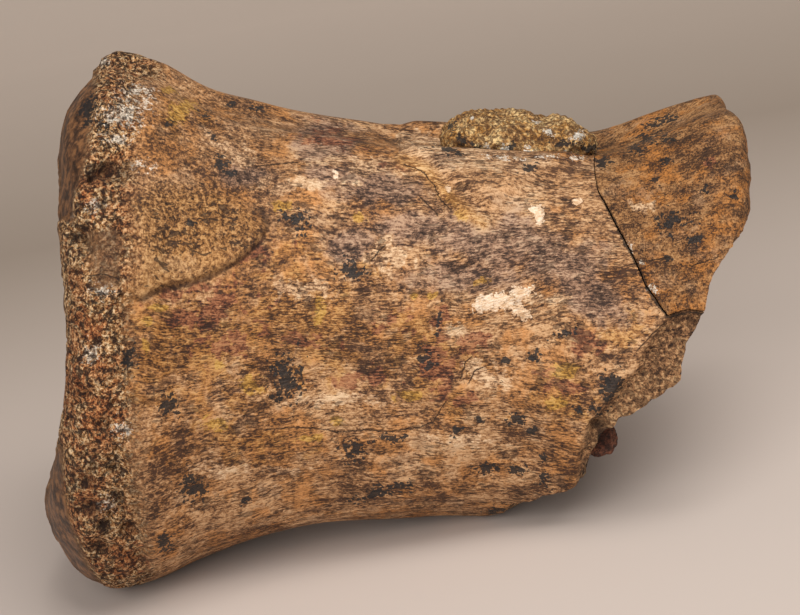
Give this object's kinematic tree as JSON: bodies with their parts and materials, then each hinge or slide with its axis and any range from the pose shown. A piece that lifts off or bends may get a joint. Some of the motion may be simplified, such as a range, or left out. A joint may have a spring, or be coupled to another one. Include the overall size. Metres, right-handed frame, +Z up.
{
  "type": "fossil theropod tail vertebra",
  "caption": "Fossil tail vertebra of a large theropod: a waisted spool of bone with dished ends, a broken lower corner, a glued fragment and crusts of rock matrix.",
  "frame": {"origin": "centre of the bounding box's base, on the surface that the bone lies on", "axes": "+X along the bone towards its broken end, +Y across it and away from the side shown, +Z up"},
  "size_m": [0.1066, 0.0677, 0.0732],
  "materials": {
    "fossil_bone": "dry, fibrous mineralised bone with dark mineral stains",
    "fragment_bone": "dry, orange-brown mineralised bone, a little smoother",
    "matrix_rock": "rough sandy rock with pale crystals",
    "nodule_rock": "rough red-brown rock"
  },
  "bodies": {
    "root": {"centrum": "fossil_bone", "end_fragment": "fragment_bone", "matrix_crust": "matrix_rock", "matrix_nodule": "nodule_rock"}
  },
  "joints": []
}
